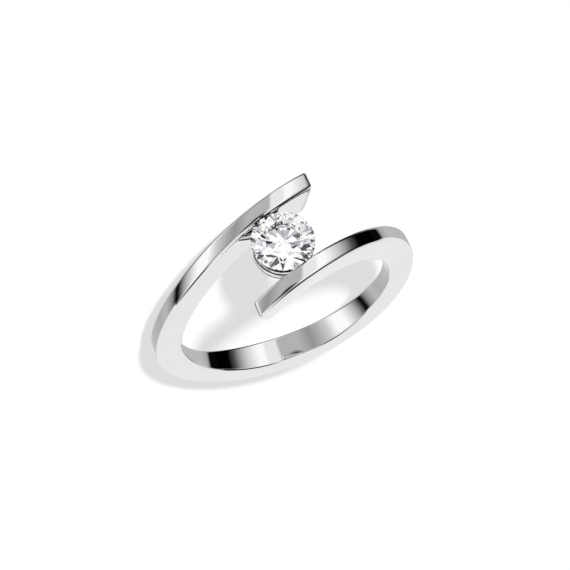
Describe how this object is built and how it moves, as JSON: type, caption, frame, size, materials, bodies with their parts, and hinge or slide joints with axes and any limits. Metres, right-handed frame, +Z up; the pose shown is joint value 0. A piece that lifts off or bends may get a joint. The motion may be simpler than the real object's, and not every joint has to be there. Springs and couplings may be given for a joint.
{
  "type": "tension set ring",
  "caption": "Bypass ring in polished white gold whose arms grip a round brilliant by its edge, lying on its side.",
  "frame": {"origin": "middle of the ring's box, on the surface that it lies on", "axes": "+Z up from the surface, +Y from the foot of the band towards the stone, +X across the band"},
  "size_m": [0.0218, 0.0224, 0.0092],
  "materials": {
    "white_gold": "mirror polished",
    "diamond": "cut and polished"
  },
  "bodies": {
    "root": {"band": "white_gold", "stone": "diamond"}
  },
  "joints": []
}
